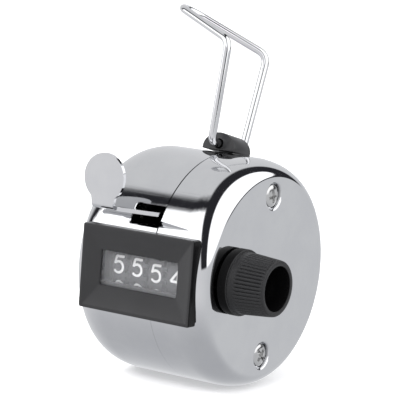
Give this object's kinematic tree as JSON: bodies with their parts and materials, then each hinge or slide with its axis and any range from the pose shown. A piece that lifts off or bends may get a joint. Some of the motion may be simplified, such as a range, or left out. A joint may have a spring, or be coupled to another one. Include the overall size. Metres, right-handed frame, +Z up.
{
  "type": "hand tally counter",
  "caption": "Pocket hand tally counter: round chrome case with a number window, side thumb lever, reset knob and folding finger loop.",
  "frame": {"origin": "centre of the case's flat left face, on the case's axis", "axes": "+X along the case's axis to the reset knob, -Y out of the number window, +Z up to the finger loop"},
  "size_m": [0.0418, 0.0457, 0.0728],
  "materials": {
    "chrome": "bright nickel-chrome plate over pressed steel",
    "black_plastic": "satin moulded black plastic",
    "wheel_plastic": "matt moulded dark plastic with printed numerals",
    "clear_plastic": "clear moulded window",
    "steel": "bright steel",
    "zinc_plate": "zinc-plated pressed sheet",
    "brass": "turned and stamped brass"
  },
  "bodies": {
    "case": {"left_case_shell": "chrome", "right_case_shell": "chrome", "window_bezel": "black_plastic", "window_lens": "clear_plastic", "mechanism_frame": "zinc_plate", "upper_spacer_post": "steel", "lower_spacer_post": "steel", "left_upper_screw": "steel", "left_lower_screw": "steel", "right_upper_screw": "steel", "right_lower_screw": "steel", "shaft_bush": "brass", "pinion_shaft": "steel", "lever_pivot_pin": "steel", "left_pivot_clip": "steel", "right_pivot_clip": "steel", "lever_return_spring": "steel", "loop_mount": "black_plastic", "loop_mount_washer": "steel"},
    "lever": {"thumb_lever": "chrome", "verge_plate": "steel"},
    "knob": {"reset_knob": "black_plastic", "knob_screw": "steel", "number_shaft": "steel", "shaft_clip": "steel"},
    "thousands": {"thousands_wheel": "wheel_plastic", "thousands_reset_pawl": "brass"},
    "hundreds": {"hundreds_wheel": "wheel_plastic", "hundreds_reset_pawl": "brass"},
    "tens": {"tens_wheel": "wheel_plastic", "tens_reset_pawl": "brass"},
    "units": {"units_wheel": "wheel_plastic", "units_reset_pawl": "brass", "star_wheel": "brass"},
    "thousands_pinion": {"thousands_transfer_pinion": "brass"},
    "hundreds_pinion": {"hundreds_transfer_pinion": "brass"},
    "tens_pinion": {"tens_transfer_pinion": "brass"},
    "loop": {"finger_loop": "chrome"}
  },
  "joints": [
    {"name": "lever_press", "type": "hinge", "parent": "case", "child": "lever", "pos_m": [0.0156, 0.0095, 0.0045], "axis": [1, 0, 0], "range_deg": [0, 3.4], "stiffness_Nm_per_rad": 0.4, "springref_deg": -4.58},
    {"name": "knob_turn", "type": "hinge", "parent": "case", "child": "knob", "pos_m": [0.0362, -0.0118, 0.0002], "axis": [1, 0, 0], "continuous": true},
    {"name": "thousands_spin", "type": "hinge", "parent": "case", "child": "thousands", "pos_m": [0.00995, -0.0118, 0.0002], "axis": [-1, 0, 0], "continuous": true},
    {"name": "hundreds_spin", "type": "hinge", "parent": "case", "child": "hundreds", "pos_m": [0.01435, -0.0118, 0.0002], "axis": [-1, 0, 0], "continuous": true},
    {"name": "tens_spin", "type": "hinge", "parent": "case", "child": "tens", "pos_m": [0.01875, -0.0118, 0.0002], "axis": [-1, 0, 0], "continuous": true},
    {"name": "units_spin", "type": "hinge", "parent": "case", "child": "units", "pos_m": [0.02315, -0.0118, 0.0002], "axis": [-1, 0, 0], "continuous": true},
    {"name": "thousands_pinion_spin", "type": "hinge", "parent": "case", "child": "thousands_pinion", "pos_m": [0.01215, -0.0012, 0.0002], "axis": [-1, 0, 0], "continuous": true},
    {"name": "hundreds_pinion_spin", "type": "hinge", "parent": "case", "child": "hundreds_pinion", "pos_m": [0.01655, -0.0012, 0.0002], "axis": [-1, 0, 0], "continuous": true},
    {"name": "tens_pinion_spin", "type": "hinge", "parent": "case", "child": "tens_pinion", "pos_m": [0.02095, -0.0012, 0.0002], "axis": [-1, 0, 0], "continuous": true},
    {"name": "loop_fold", "type": "hinge", "parent": "case", "child": "loop", "pos_m": [0.01595, 0.00518, 0.02338], "axis": [0, 0.9763, -0.2164], "range_deg": [-88, 88]}
  ],
  "couplings": [
    {"joint": "thousands_pinion_spin", "follows": "thousands_spin", "ratio": -2.5},
    {"joint": "hundreds_pinion_spin", "follows": "hundreds_spin", "ratio": -2.5},
    {"joint": "tens_pinion_spin", "follows": "tens_spin", "ratio": -2.5}
  ]
}
